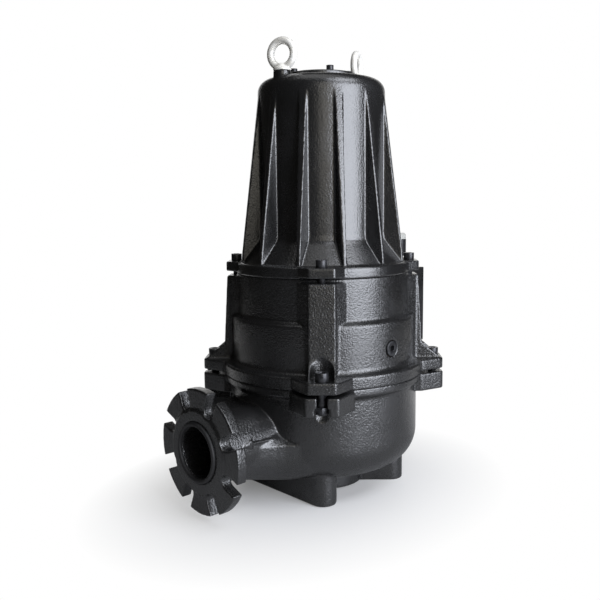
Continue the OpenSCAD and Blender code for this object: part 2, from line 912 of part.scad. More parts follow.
module bearing_balls(od, bore, w, ball_d, n) {
    pitch = (od + bore) / 4;
    for (i = [0:n - 1])
        rotate(360 / n * i)
            translate([pitch, 0, w / 2])
                sphere(d = ball_d, $fn = 48);
}

module bearing_cage(od, bore, w, ball_d, n) {
    pitch = (od + bore) / 4;
    difference() {
        translate([0, 0, w / 2 - ball_d * 0.33])
            ring(pitch + ball_d * 0.16, pitch - ball_d * 0.16, ball_d * 0.66);
        for (i = [0:n - 1])
            rotate(360 / n * i)
                translate([pitch, 0, w / 2])
                    sphere(d = ball_d + 0.2, $fn = 48);
    }
}

low_ball_d = 15;
low_ball_n = 8;
up_ball_d = 9.5;
up_ball_n = 9;

module lower_bearing_outer() {
    color(steel)
    translate([0, 0, bearing_low_z])
        bearing_outer(low_bearing_od, low_bearing_d, low_bearing_w, low_ball_d);
}

module lower_bearing_inner() {
    color(steel)
    translate([0, 0, bearing_low_z])
        bearing_inner(low_bearing_od, low_bearing_d, low_bearing_w, low_ball_d);
}

module lower_bearing_balls() {
    color(alu)
    translate([0, 0, bearing_low_z])
        bearing_balls(low_bearing_od, low_bearing_d, low_bearing_w, low_ball_d, low_ball_n);
}

module lower_bearing_cage() {
    color(brass)
    translate([0, 0, bearing_low_z])
        bearing_cage(low_bearing_od, low_bearing_d, low_bearing_w, low_ball_d, low_ball_n);
}

module upper_bearing_outer() {
    color(steel)
    translate([0, 0, up_bearing_z])
        bearing_outer(up_bearing_od, up_bearing_d, up_bearing_w, up_ball_d);
}

module upper_bearing_inner() {
    color(steel)
    translate([0, 0, up_bearing_z])
        bearing_inner(up_bearing_od, up_bearing_d, up_bearing_w, up_ball_d);
}

module upper_bearing_balls() {
    color(alu)
    translate([0, 0, up_bearing_z])
        bearing_balls(up_bearing_od, up_bearing_d, up_bearing_w, up_ball_d, up_ball_n);
}

module upper_bearing_cage() {
    color(brass)
    translate([0, 0, up_bearing_z])
        bearing_cage(up_bearing_od, up_bearing_d, up_bearing_w, up_ball_d, up_ball_n);
}

module bearing_cover() {
    color(paint)
    difference() {
        translate([0, 0, bearing_top_z])
            cylinder(h = 6, r = hub_r);
        translate([0, 0, bearing_top_z - cut])
            cylinder(h = 20, r = rotor_shaft_d / 2 + 3);
        translate([0, 0, bearing_top_z - cut])
            cylinder(h = 1.5 + cut, r = low_bearing_od / 2 - 6.5);
        for (a = [45:90:315])
            rotate(a)
                translate([low_bearing_od / 2 + 7, 0, bearing_top_z - cut])
                    cylinder(h = 20, d = 7, $fn = 32);
    }
}

module bearing_cover_screws() {
    color(dark_steel)
    for (a = [45:90:315])
        rotate(a)
            translate([low_bearing_od / 2 + 7, 0, bearing_top_z + 6])
                cap_screw(6, 18);
}

module wave_spring() {
    color(steel)
    translate([0, 0, up_bearing_z + up_bearing_w])
        ring(up_bearing_od / 2 - 1, up_bearing_od / 2 - 6, 2);
}

// Motor housing

bore_r = stator_r + seat_gap;
cavity_top = housing_top - 18;
flare_z = up_ring_top + 44;
cap_pocket_r = 36;

// A rib: its side profile cut to a wedge in plan
module rib() {
    rib_low = up_ring_top - 4;
    rib_high = housing_top - shoulder_r;
    root_x = core_r - 10;
    intersection() {
        rotate([90, 0, 0])
            translate([0, 0, -rib_t])
                linear_extrude(2 * rib_t)
                    polygon([
                        [root_x, rib_low], [rib_foot_r + 1, rib_low], [rib_foot_r, up_ring_top + 14],
                        [rib_top_r, rib_high], [root_x, rib_high]
                    ]);
        translate([0, 0, rib_low - cut])
            linear_extrude(rib_high - rib_low + 2 * cut)
                polygon([
                    [root_x - cut, -rib_t / 2], [core_r, -rib_t / 2], [rib_foot_r + 2, -rib_edge_t / 2],
                    [rib_foot_r + 2, rib_edge_t / 2], [core_r, rib_t / 2], [root_x - cut, rib_t / 2]
                ]);
    }
}

module motor_housing_outside() {
    rotate_extrude()
        polygon(concat(
            [[0, joint_up - spigot_h], [spigot_r - seat_gap, joint_up - spigot_h], [spigot_r - seat_gap, joint_up],
             [up_ring_r, joint_up], [up_ring_r, up_ring_top - 3], [up_ring_r - 3, up_ring_top],
             [rib_foot_r - 3, up_ring_top], [core_r + 4, flare_z - 10], [core_r + 1.2, flare_z - 5], [core_r, flare_z + 3]],
            arc(core_r - shoulder_r, housing_top - shoulder_r, shoulder_r, 0, 80, 8),
            [[core_r - shoulder_r - 4, housing_top], [0, housing_top]]));
    on_diagonals()
        translate([0, 0, joint_up + lug_relief])
            linear_extrude(up_ring_t - lug_relief)
                lug_plan(up_lug_r, up_lug_w, up_ring_r - 4, up_lug_w + 26, 3);
    for (i = [0:rib_n - 1])
        rotate(360 / rib_n * i)
            rib();
    eye_places()
        translate([0, 0, -14])
            cylinder(h = 14 + eye_boss_h, d = 29, $fn = 64);
}

eye_boss_h = 7;
eye_rise = 53;

module eye_places() {
    for (a = [-90, 90])
        rotate(a)
            translate([eye_ring_r, 0, housing_top])
                children();
}

module motor_housing() {
    color(paint)
    difference() {
        motor_housing_outside();
        // Motor space, widened below the stator
        translate([0, 0, joint_up - spigot_h - cut])
            cylinder(h = cavity_top - joint_up + spigot_h + cut, r = bore_r);
        rotate_extrude()
            polygon([
                [0, joint_up - spigot_h - cut], [spigot_r - 10, joint_up - spigot_h - cut],
                [spigot_r - 14, up_ring_top], [bore_r, up_ring_top + 26], [0, up_ring_top + 26]
            ]);
        // Groove of the joint's seal
        translate([0, 0, joint_up - spigot_h / 2 - oring_r - 0.1])
            ring(spigot_r + cut, spigot_r - 2 * oring_r - 0.2, 2 * oring_r + 0.2);
        // Opening for the top cover
        translate([0, 0, up_bearing_z + up_bearing_w])
            cylinder(h = 100, r = cap_pocket_r);
        on_diagonals()
            translate([up_bolt_r, 0, joint_up - cut])
                cylinder(h = up_ring_t + 20, d = up_screw_d + screw_play, $fn = 48);
        // Flat seat for each upper screw head
        on_diagonals()
            translate([up_bolt_r, 0, up_ring_top])
                cylinder(h = 30, r = 10.5, $fn = 48);
        eye_places()
            translate([0, 0, -14])
                cylinder(h = 60, d = 12.1, $fn = 48);
        cover_screw_places()
            translate([0, 0, -12])
                cylinder(h = 12 + cut, d = cover_screw_d + 0.1, $fn = 32);
    }
    // Hub that carries the upper bearing
    color(paint)
    difference() {
        translate([0, 0, up_bearing_z - 8])
            cylinder(h = cavity_top - up_bearing_z + 8 + 1, r = up_bearing_od / 2 + 12);
        translate([0, 0, up_bearing_z - 20])
            cylinder(h = 100, r = up_bearing_d / 2 + 6);
        translate([0, 0, up_bearing_z])
            cylinder(h = 100, r = up_bearing_od / 2 + seat_gap);
        translate([0, 0, up_bearing_z + up_bearing_w])
            cylinder(h = 100, r = cap_pocket_r);
    }
}

module cover_screw_places() {
    for (i = [0:3])
        rotate(-27 + 90 * i)
            translate([cover_r - 12, 0, housing_top])
                children();
}

module top_cover() {
    color(paint)
    difference() {
        union() {
            translate([0, 0, housing_top])
                cylinder(h = cover_t - 1.5, r = cover_r);
            translate([0, 0, housing_top + cover_t - 1.5])
                cylinder(h = 1.5, r1 = cover_r, r2 = cover_r - 1.5);
            translate([0, 0, up_bearing_z + up_bearing_w + 2])
                cylinder(h = housing_top - up_bearing_z - up_bearing_w - 2 + cut, r = cap_pocket_r - seat_gap);
        }
        translate([0, 0, up_bearing_z])
            cylinder(h = housing_top - up_bearing_z - 4, r = up_bearing_od / 2 - 6);
        cover_screw_places()
            translate([0, 0, -cut])
                cylinder(h = 40, d = cover_screw_d + 1, $fn = 32);
        translate([0, 0, housing_top - 8])
            ring(cap_pocket_r + cut, cap_pocket_r - 2 * oring_r - 0.2, 2 * oring_r + 0.2);
    }
}

module top_cover_oring() {
    color(rubber)
    translate([0, 0, housing_top - 8 + oring_r + 0.1])
        torus(cap_pocket_r - oring_r - 0.1, oring_r);
}

module top_cover_screws() {
    color(dark_steel)
    cover_screw_places()
        translate([0, 0, cover_t])
            cap_screw(cover_screw_d, cover_t + 10);
}

module housing_oring() {
    color(rubber)
    translate([0, 0, joint_up - spigot_h / 2])
        torus(spigot_r - oring_r - 0.1, oring_r);
}

// Eyebolt: ring, collar and shank
module eyebolt() {
    cord = (eye_d - eye_hole) / 4;
    mid = (eye_d + eye_hole) / 4;
    ring_z = eye_rise - eye_d / 2;
    translate([0, 0, ring_z])
        rotate([90, 0, 0])
            torus(mid, cord);
    cylinder(h = 4, d = 29, $fn = 64);
    translate([0, 0, 4 - eps])
        cylinder(h = ring_z - mid + 2, d1 = 25, d2 = 14, $fn = 64);
    translate([0, 0, -18])
        cylinder(h = 19, d = 12, $fn = 48);
}

module front_eyebolt() {
    color(zinc)
    translate([0, -eye_ring_r, housing_top + eye_boss_h])
        rotate(eye_turn_front)
            eyebolt();
}

module rear_eyebolt() {
    color(zinc)
    translate([0, eye_ring_r, housing_top + eye_boss_h])
        rotate(eye_turn_rear)
            eyebolt();
}

// Joint screws

module upper_cap_screws() {
    color(dark_steel)
    on_diagonals()
        translate([up_bolt_r, 0, up_ring_top])
            cap_screw(up_screw_d, up_ring_t + 24);
}

module lower_cap_screws() {
    color(dark_steel)
    on_diagonals()
        translate([low_bolt_r, 0, low_ring_top])
            cap_screw(low_screw_d, low_ring_t + 32);
}

module lower_nuts() {
    color(dark_steel)
    on_diagonals()
        translate([low_bolt_r, 0, joint_low - 16 - lug_relief - low_nut_h])
            difference() {
                hex_prism(low_nut_af, low_nut_h);
                translate([0, 0, -cut])
                    cylinder(h = low_nut_h + 2 * cut, d = low_screw_d + 0.1, $fn = 48);
            }
}

// Stator and rotor

stator_low = joint_up + 88;

module stator_core() {
    color(steel)
    translate([0, 0, stator_low])
        difference() {
            cylinder(h = stator_h, r = stator_r);
            translate([0, 0, -cut])
                cylinder(h = stator_h + 2 * cut, r = stator_bore_r);
            for (i = [0:23])
                rotate(15 * i)
                    translate([stator_bore_r - 2, -2.5, -cut])
                        cube([20, 5, stator_h + 2 * cut]);
        }
}

module stator_windings() {
    color(copper)
    for (z = [stator_low - 34, stator_low + stator_h])
        translate([0, 0, z])
            rotate_extrude()
                polygon([[stator_bore_r + 3, 0], [stator_r - 8, 0], [stator_r - 4, 6], [stator_r - 4, 28],
                         [stator_r - 8, 34], [stator_bore_r + 3, 34]]);
}

module rotor_core() {
    color(steel)
    translate([0, 0, stator_low])
        ring(stator_bore_r - air_gap, rotor_shaft_d / 2 + 0.02, stator_h);
}

module rotor_end_rings() {
    color(alu)
    for (z = [stator_low - 12, stator_low + stator_h])
        translate([0, 0, z])
            ring(stator_bore_r - air_gap - 1, rotor_shaft_d / 2 + 8, 12);
}

// Cable entry

gasket_t = 1.5;
box_wall = 8;
gland_y = box_reach - gland_d / 2 - 1;
gland_x = 5;
gland_af = gland_d * cos(30);
gland_thread = 26;
gland_body_h = 40;
nut_low = 20;
nut_high = 52;

module cable_box() {
    depth = box_reach - box_face - gasket_t;
    color(paint)
    difference() {
        translate([-box_w / 2, box_face + gasket_t, box_top - box_h])
            cube([box_w, depth, box_h]);
        translate([-box_w / 2 + 20, box_face + gasket_t - cut, box_top - box_h + 22])
            cube([box_w - 40, depth - box_wall + cut, box_h - 22 - 14]);
        translate([gland_x, gland_y, box_top - 20])
            cylinder(h = 20 + cut, d = 24.1);
        box_screw_places()
            rotate([-90, 0, 0]) {
                cylinder(h = 100, d = 9, $fn = 32);
                translate([0, 0, 18])
                    cylinder(h = 100, d = 15, $fn = 32);
            }
    }
}

module cable_box_gasket() {
    color(rubber)
    difference() {
        translate([-box_w / 2, box_face, box_top - box_h])
            cube([box_w, gasket_t, box_h]);
        translate([-box_w / 2 + 20, box_face - cut, box_top - box_h + 22])
            cube([box_w - 40, gasket_t + 2 * cut, box_h - 22 - 14]);
        box_screw_places()
            rotate([-90, 0, 0])
                cylinder(h = 20, d = 9, center = true, $fn = 32);
    }
}

module cable_box_screws() {
    color(dark_steel)
    box_screw_places()
        translate([0, 18, 0])
            rotate([-90, 0, 0])
                cap_screw(8, 26);
}

module gland_body() {
    color(dark_steel)
    difference() {
        translate([gland_x, gland_y, box_top]) {
            hex_prism(gland_af, nut_low - 4);
            cylinder(h = gland_body_h, d = gland_thread);
            translate([0, 0, -12])
                cylinder(h = 13, d = 24);
        }
        translate([gland_x, gland_y, box_top - 20])
            cylinder(h = 100, d = inlet_d + 2);
    }
}

module gland_grommet() {
    color(rubber)
    translate([gland_x, gland_y, box_top + gland_body_h])
        ring(gland_thread / 2 - 1, inlet_d / 2, 8);
}

module gland_nut() {
    color(dark_steel)
    translate([gland_x, gland_y, box_top + nut_low])
        difference() {
            union() {
                hex_prism(gland_af, 14);
                cylinder(h = nut_high - nut_low, d = gland_d);
            }
            translate([0, 0, -cut])
                cylinder(h = gland_body_h + 8.1 - nut_low + cut, d = gland_thread + 0.1);
            cylinder(h = 60, d = inlet_d);
        }
}

// Transport cap that closes the gland while no cable is fitted
module gland_cap() {
    color(zinc)
    translate([gland_x, gland_y, box_top + nut_high]) {
        cylinder(h = 8, d = gland_d - 1);
        translate([0, 0, 8 - eps])
            cylinder(h = 3, r1 = gland_d / 2 - 0.5, r2 = gland_d / 2 - 3);
        translate([0, 0, -14])
            cylinder(h = 15, d = inlet_d - 2 * seat_gap);
    }
}

module terminal_block() {
    color(brass)
    translate([-24, box_face + gasket_t + 8, window_z - 44])
        difference() {
            cube([48, box_reach - box_face - gasket_t - box_wall - 8, 22]);
            for (x = [8, 24, 40])
                translate([x, 12, 22 - 8])
                    cylinder(h = 20, d = 4.1, $fn = 24);
        }
}

module terminal_screws() {
    color(brass)
    for (x = [-16, 0, 16])
        translate([x, box_face + gasket_t + 20, window_z - 22])
            cap_screw(4, 7);
}

volute_casing();
outlet_seal();
suction_wear_ring();
seal_plate();
seal_plate_oring();
oil_casing();
oil_plugs();
oil_plug_washers();
motor_housing();
housing_oring();
top_cover();
top_cover_oring();
top_cover_screws();
front_eyebolt();
rear_eyebolt();
upper_cap_screws();
lower_cap_screws();
lower_nuts();
cable_box();
cable_box_gasket();
cable_box_screws();
gland_body();
gland_grommet();
gland_nut();
gland_cap();
terminal_block();
terminal_screws();
shaft();
shaft_circlips();
impeller();
impeller_key();
impeller_washer();
impeller_screw();
lower_seal_seat();
lower_seal_ring();
seal_spring();
upper_seal_ring();
upper_seal_seat();
lower_bearing_outer();
lower_bearing_inner();
lower_bearing_balls();
lower_bearing_cage();
bearing_cover();
bearing_cover_screws();
upper_bearing_outer();
upper_bearing_inner();
upper_bearing_balls();
upper_bearing_cage();
wave_spring();
rotor_core();
rotor_end_rings();
stator_core();
stator_windings();
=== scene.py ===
import json
import math

import bmesh
import bpy
from mathutils import Matrix, Vector

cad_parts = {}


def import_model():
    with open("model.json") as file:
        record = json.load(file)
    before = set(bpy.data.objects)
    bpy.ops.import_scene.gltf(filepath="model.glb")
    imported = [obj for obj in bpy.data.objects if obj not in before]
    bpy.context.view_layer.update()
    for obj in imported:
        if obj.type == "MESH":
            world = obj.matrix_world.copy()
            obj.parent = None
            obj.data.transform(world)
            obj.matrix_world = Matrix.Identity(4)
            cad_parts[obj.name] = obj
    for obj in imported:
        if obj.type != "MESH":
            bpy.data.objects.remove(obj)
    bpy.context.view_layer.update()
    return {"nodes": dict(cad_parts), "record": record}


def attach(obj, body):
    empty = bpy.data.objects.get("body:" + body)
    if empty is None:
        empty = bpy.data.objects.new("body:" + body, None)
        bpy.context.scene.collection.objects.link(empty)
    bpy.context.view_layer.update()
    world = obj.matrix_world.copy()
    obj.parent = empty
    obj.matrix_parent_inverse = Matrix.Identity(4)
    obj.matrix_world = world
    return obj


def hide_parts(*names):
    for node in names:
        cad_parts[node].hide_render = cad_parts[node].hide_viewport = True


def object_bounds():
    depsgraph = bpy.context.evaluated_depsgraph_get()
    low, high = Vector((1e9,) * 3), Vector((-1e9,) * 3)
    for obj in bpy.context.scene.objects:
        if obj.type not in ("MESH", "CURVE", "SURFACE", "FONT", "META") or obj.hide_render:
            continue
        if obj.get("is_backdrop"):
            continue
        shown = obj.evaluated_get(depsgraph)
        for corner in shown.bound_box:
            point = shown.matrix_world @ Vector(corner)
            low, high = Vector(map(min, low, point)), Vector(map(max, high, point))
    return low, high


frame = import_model()

MM = 0.001
scene = bpy.context.scene

# How the castings' skins and the machined pieces' edges are made
JOIN_MM = 0.004
CAST_SHADING_DEG = 60
FLAT_FACE_DEG = 0.6
SHARP_EDGE_DEG = 28
MACHINED_SHADING_DEG = 30
BEVEL_STEPS = 2


# Shader maths


class Term:
    """A socket or number that can be used in an expression."""

    def __init__(self, surface, socket):
        self.surface = surface
        self.socket = socket

    def _math(self, operation, first, second=0.0):
        node = self.surface.node("ShaderNodeMath", {"operation": operation}, {0: first, 1: second})
        return Term(self.surface, node.outputs[0])

    def __add__(self, other):
        return self._math("ADD", self, other)

    __radd__ = __add__

    def __sub__(self, other):
        return self._math("SUBTRACT", self, other)

    def __rsub__(self, other):
        return self._math("SUBTRACT", other, self)

    def __mul__(self, other):
        return self._math("MULTIPLY", self, other)

    __rmul__ = __mul__

    def clamped(self, low, high):
        """0 at low, 1 at high."""
        node = self.surface.node(
            "ShaderNodeMapRange", {"clamp": True}, {"Value": self, "From Min": low, "From Max": high}
        )
        return Term(self.surface, node.outputs["Result"])


class Sheet:
    """A sheet of shader nodes, and the one method that makes them."""

    def __init__(self, owner):
        owner.use_nodes = True
        self.tree = owner.node_tree
        self.tree.nodes.clear()

    def node(self, kind, settings=None, inputs=None):
        """A node with its settings, and with values or links on its sockets."""
        made = self.tree.nodes.new(kind)
        for key, value in (settings or {}).items():
            setattr(made, key, value)
        for key, value in (inputs or {}).items():
            socket = made.inputs[key]
            if isinstance(value, Term):
                value = value.socket
            if isinstance(value, bpy.types.NodeSocket):
                self.tree.links.new(value, socket)
            else:
                socket.default_value = value
        return made

    def shown(self):
        """The rays that show the background: from the camera, off gloss and through glass."""
        path = self.node("ShaderNodeLightPath")
        camera_ray = Term(self, path.outputs["Is Camera Ray"])
        glossy_ray = Term(self, path.outputs["Is Glossy Ray"])
        clear_ray = Term(self, path.outputs["Is Transmission Ray"])
        return camera_ray, glossy_ray, clear_ray


class Surface(Sheet):
    """A material with a Principled shader."""

    def __init__(self, name, color, roughness, metallic=0.0, coat=0.0, coat_roughness=0.1, ior=1.5):
        self.material = bpy.data.materials.new(name)
        super().__init__(self.material)
        self.shader = self.node(
            "ShaderNodeBsdfPrincipled",
            {},
            {
                "Base Color": (*color, 1.0),
                "Roughness": roughness,
                "Metallic": metallic,
                "IOR": ior,
                "Coat Weight": coat,
                "Coat Roughness": coat_roughness,
            },
        )
        self.output = self.node("ShaderNodeOutputMaterial", {}, {"Surface": self.shader.outputs[0]})

    def place(self, scale=(1.0, 1.0, 1.0)):
        """Object coordinates, stretched by scale."""
        coords = self.node("ShaderNodeTexCoord")
        mapping = self.node("ShaderNodeMapping", {}, {"Vector": coords.outputs["Object"], "Scale": scale})
        return mapping.outputs["Vector"]

    def noise(self, size_mm, detail=2.0, rough=0.5, stretch=(1.0, 1.0, 1.0)):
        """Noise with lumps of about size_mm."""
        made = self.node(
            "ShaderNodeTexNoise",
            {},
            {
                "Vector": self.place(stretch),
                "Scale": 1.0 / (size_mm * MM),
                "Detail": detail,
                "Roughness": rough,
            },
        )
        return Term(self, made.outputs["Fac"])

    def set(self, socket, value):
        value = value.socket if isinstance(value, Term) else value
        self.tree.links.new(value, self.shader.inputs[socket])

    def two_colors(self, mask, dark, light):
        made = self.node(
            "ShaderNodeMix", {"data_type": "RGBA"}, {"Factor": mask, 6: (*dark, 1.0), 7: (*light, 1.0)}
        )
        return made.outputs[2]

    def relief(self, height, depth_mm):
        """Bump of depth_mm over height."""
        made = self.node(
            "ShaderNodeBump", {}, {"Height": height, "Distance": depth_mm * MM, "Strength": 1.0}
        )
        self.set("Normal", made.outputs[0])


# Finishes


def casing_paint(name, peel_depth, peel_size, gloss, lump_share=0.5):
    """Black paint over a sand casting: orange peel, soft lumps and uneven gloss."""
    lump_mm, haze_mm, grain_mm, grain_share = 11.0, 60.0, 1.4, 0.25
    s = Surface(name, (0.012, 0.012, 0.012), gloss, coat=0.1, coat_roughness=0.16, ior=1.8)
    peel = s.noise(peel_size, 1.5, 0.45)
    lumps = s.noise(lump_mm, 2.0, 0.5)
    haze = s.noise(haze_mm, 3.0, 0.55)
    grain = s.noise(grain_mm, 1.0, 0.5)
    black, worn_black = (0.008, 0.008, 0.008), (0.014, 0.014, 0.0145)
    s.set("Base Color", s.two_colors(haze.clamped(0.3, 0.7), black, worn_black))
    s.set("Roughness", gloss + (haze - 0.5) * 0.16 + (grain - 0.5) * 0.10)
    s.relief(peel + lumps * lump_share + grain * grain_share, peel_depth)
    return s.material


def bare_casting():
    s = Surface("bare_casting", (0.2, 0.2, 0.21), 0.6, metallic=0.75)
    lumps = s.noise(3.0, 3.0, 0.6)
    stain = s.noise(35.0, 4.0, 0.6)
    s.set("Base Color", s.two_colors(stain.clamped(0.35, 0.65), (0.16, 0.155, 0.15), (0.27, 0.27, 0.28)))
    s.set("Roughness", 0.52 + (stain - 0.5) * 0.3)
    s.relief(lumps, 0.35)
    return s.material


def zinc_plate():
    """Forged eyebolts with a pale yellowish zinc plate, paler and duller together in random patches."""
    s = Surface("zinc_plate", (0.86, 0.84, 0.77), 0.36, metallic=0.15)
    forge = s.noise(4.0, 2.0, 0.5)
    bloom = s.noise(9.0, 4.0, 0.6)
    s.set("Base Color", s.two_colors(bloom.clamped(0.35, 0.7), (0.86, 0.83, 0.75), (0.97, 0.96, 0.92)))
    s.set("Roughness", 0.34 + (bloom - 0.5) * 0.25)
    s.relief(forge + bloom * 0.2, 0.12)
    return s.material


def turned_steel(name, dark, light, roughness, metallic=1.0, lines_mm=0.35):
    """Turned rings round the shaft's axis: fine lines stacked along Z."""
    s = Surface(name, light, roughness, metallic=metallic)
    lines = s.noise(lines_mm, 1.0, 0.5, stretch=(0.02, 0.02, 1.0))
    smear = s.noise(20.0, 3.0, 0.6)
    s.set("Base Color", s.two_colors(smear.clamped(0.3, 0.7), dark, light))
    s.set("Roughness", roughness + (smear - 0.5) * 0.18)
    s.relief(lines, 0.03)
    return s.material


def blackened_steel():
    s = Surface(
        "blackened_steel", (0.035, 0.035, 0.038), 0.38, metallic=0.55, coat=0.15, coat_roughness=0.25
    )
    oil = s.noise(7.0, 3.0, 0.6)
    grain = s.noise(0.8, 2.0, 0.5)
    s.set("Base Color", s.two_colors(oil.clamped(0.35, 0.7), (0.022, 0.022, 0.024), (0.06, 0.061, 0.066)))
    s.set("Roughness", 0.33 + (oil - 0.5) * 0.3 + (grain - 0.5) * 0.1)
    s.relief(grain, 0.05)
    return s.material


def moulded(name, dark, light, roughness, grain_mm, depth_mm, metallic=0.0):
    """Rubber, plastic and ceramic: one grain and a faint mottle."""
    s = Surface(name, light, roughness, metallic=metallic)
    mottle = s.noise(14.0, 3.0, 0.6)
    grain = s.noise(grain_mm, 2.0, 0.5)
    s.set("Base Color", s.two_colors(mottle.clamped(0.3, 0.7), dark, light))
    s.set("Roughness", roughness + (mottle - 0.5) * 0.15)
    s.relief(grain, depth_mm)
    return s.material


def winding_copper():
    """Enamelled wire laid round the end windings."""
    s = Surface("winding_copper", (0.6, 0.28, 0.12), 0.32, metallic=0.8, coat=0.4)
    wires = s.node(
        "ShaderNodeTexWave",
        {"wave_type": "RINGS", "rings_direction": "Z"},
        {"Vector": s.place(), "Scale": 160.0, "Distortion": 1.2, "Detail": 2.0},
    )
    strand = Term(s, wires.outputs["Fac"])
    varnish = s.noise(18.0, 3.0, 0.6)
    s.set("Base Color", s.two_colors(varnish.clamped(0.3, 0.7), (0.42, 0.17, 0.06), (0.68, 0.34, 0.16)))
    s.set("Roughness", 0.28 + strand * 0.2)
    s.relief(strand, 0.5)
    return s.material


def stacked_sheets():
    """Stator and rotor cores: half-millimetre sheets seen on edge."""
    s = Surface("stacked_sheets", (0.3, 0.3, 0.31), 0.45, metallic=0.9)
    sheets = s.node(
        "ShaderNodeTexWave",
        {"wave_type": "BANDS", "bands_direction": "Z"},
        {"Vector": s.place(), "Scale": 320.0, "Distortion": 0.1},
    )
    edge = Term(s, sheets.outputs["Fac"])
    blue = s.noise(25.0, 3.0, 0.6)
    s.set("Base Color", s.two_colors(blue.clamped(0.3, 0.7), (0.2, 0.2, 0.21), (0.36, 0.36, 0.38)))
    s.set("Roughness", 0.4 + edge * 0.15)
    s.relief(edge, 0.12)
    return s.material


FINISH = {
    "casing_paint": casing_paint("casing_paint", 0.30, 3.6, 0.30),
    "cast_grey": bare_casting(),
    "zinc": zinc_plate(),
    "black_steel": blackened_steel(),
    "steel": turned_steel("turned_steel", (0.42, 0.42, 0.43), (0.58, 0.59, 0.61), 0.3),
    "polished_steel": turned_steel(
        "polished_steel", (0.7, 0.71, 0.73), (0.8, 0.81, 0.83), 0.08, lines_mm=2.0
    ),
    "rubber": moulded("rubber", (0.016, 0.016, 0.017), (0.028, 0.028, 0.029), 0.5, 0.8, 0.05),
    "seal_carbide": moulded("seal_carbide", (0.05, 0.05, 0.055), (0.09, 0.09, 0.095), 0.22, 0.4, 0.01, 0.3),
    "brass": turned_steel("brass", (0.55, 0.38, 0.14), (0.72, 0.53, 0.24), 0.3),
    "copper": winding_copper(),
    "laminations": stacked_sheets(),
    "aluminium": turned_steel(
        "die_cast_aluminium", (0.6, 0.61, 0.62), (0.76, 0.77, 0.78), 0.42, lines_mm=1.2
    ),
    "pale_plastic": moulded("pale_plastic", (0.42, 0.42, 0.39), (0.52, 0.52, 0.49), 0.42, 1.2, 0.05),
}
# The oil casing shows the strongest casting texture, the bowl of the volute the faintest
PEEL = {
    "volute_casing": casing_paint("volute_paint", 0.60, 3.0, 0.28),
    "oil_casing": casing_paint("oil_casing_paint", 0.70, 2.6, 0.27, 0.2),
    "motor_housing": casing_paint("housing_paint", 0.40, 2.6, 0.25, 0.3),
}

slot_of = {part["node"]: part["material_slot"] for part in frame["record"]["subparts"]}


def finish_of(node):
    return PEEL.get(node, FINISH[slot_of[node]])


def dress(obj, material):
    obj.data.materials.clear()
    obj.data.materials.append(material)


for node_name, node_object in frame["nodes"].items():
    dress(node_object, finish_of(node_name))


# Mesh helpers


def only(obj):
    bpy.ops.object.select_all(action="DESELECT")
    obj.select_set(True)
    bpy.context.view_layer.objects.active = obj


def apply_modifier(obj, kind, **settings):
    only(obj)
    modifier = obj.modifiers.new(kind.title(), kind)
    for key, value in settings.items():
        setattr(modifier, key, value)
    bpy.ops.object.modifier_apply(modifier=modifier.name)


def smooth_by_angle(obj, degrees):
    only(obj)
    bpy.ops.object.shade_smooth_by_angle(angle=math.radians(degrees))


def merged_copy(node, name):
    """A copy of a CAD node's mesh, with its loose triangles joined."""
    obj = bpy.data.objects.new(name, frame["nodes"][node].data.copy())
    scene.collection.objects.link(obj)
    mesh = bmesh.new()
    mesh.from_mesh(obj.data)
    bmesh.ops.remove_doubles(mesh, verts=mesh.verts, dist=JOIN_MM * MM)
    mesh.to_mesh(obj.data)
    mesh.free()
    return obj


def stand_for(obj, node):
    """obj takes the place of a CAD node of the housing, and its finish."""
    dress(obj, finish_of(node))
    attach(obj, "housing")
    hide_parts(node)


def cast_copy(node, voxel_mm, rounds, triangles, extras=()):
    """A casting: the CAD shape and its raised marks, as one skin with rounded corners and fillets."""
    obj = merged_copy(node, node + "_cast")
    if extras:
        only(obj)
        for extra in extras:
            extra.select_set(True)
        bpy.ops.object.join()
    coarser = 1
    apply_modifier(obj, "REMESH", mode="VOXEL", voxel_size=voxel_mm * MM * coarser)
    apply_modifier(obj, "SMOOTH", factor=0.5, iterations=max(1, rounds // coarser))
    count = sum(len(face.vertices) - 2 for face in obj.data.polygons)
    if count > triangles:
        apply_modifier(obj, "DECIMATE", decimate_type="COLLAPSE", ratio=triangles / count)
    smooth_by_angle(obj, CAST_SHADING_DEG)
    stand_for(obj, node)


def bevelled_copy(node, width_mm):
    """A machined piece: the CAD shape with its edges broken."""
    obj = merged_copy(node, node + "_finished")
    only(obj)
    bpy.ops.object.mode_set(mode="EDIT")
    bpy.ops.mesh.select_all(action="SELECT")
    bpy.ops.mesh.dissolve_limited(angle_limit=math.radians(FLAT_FACE_DEG))
    bpy.ops.object.mode_set(mode="OBJECT")
    apply_modifier(
        obj, "BEVEL", width=width_mm * MM, segments=BEVEL_STEPS, limit_method="ANGLE",
        angle_limit=math.radians(SHARP_EDGE_DEG), use_clamp_overlap=True,
    )
    smooth_by_angle(obj, MACHINED_SHADING_DEG)
    stand_for(obj, node)


# Pieces


def raised_bar(name, start, end, width_mm, height_mm):
    """A low cast bar between two points on the neck's near side, tapered at both ends."""
    start, end = Vector(start) * MM, Vector(end) * MM
    run = end - start
    bpy.ops.object.select_all(action="DESELECT")
    bpy.ops.mesh.primitive_cube_add(size=1.0, location=(0, 0, 0))
    bar = bpy.context.object
    bar.name = name
    bpy.ops.object.mode_set(mode="EDIT")
    bpy.ops.mesh.select_all(action="SELECT")
    bpy.ops.transform.resize(value=(run.length, height_mm * MM, width_mm * MM))
    bpy.ops.mesh.bevel(offset=0.3 * width_mm * MM, segments=BEVEL_STEPS)
    bpy.ops.object.mode_set(mode="OBJECT")
    turn = run.to_track_quat("X", "Z").to_matrix().to_4x4()
    bar.data.transform(Matrix.Translation((start + end) / 2) @ turn)
    return bar


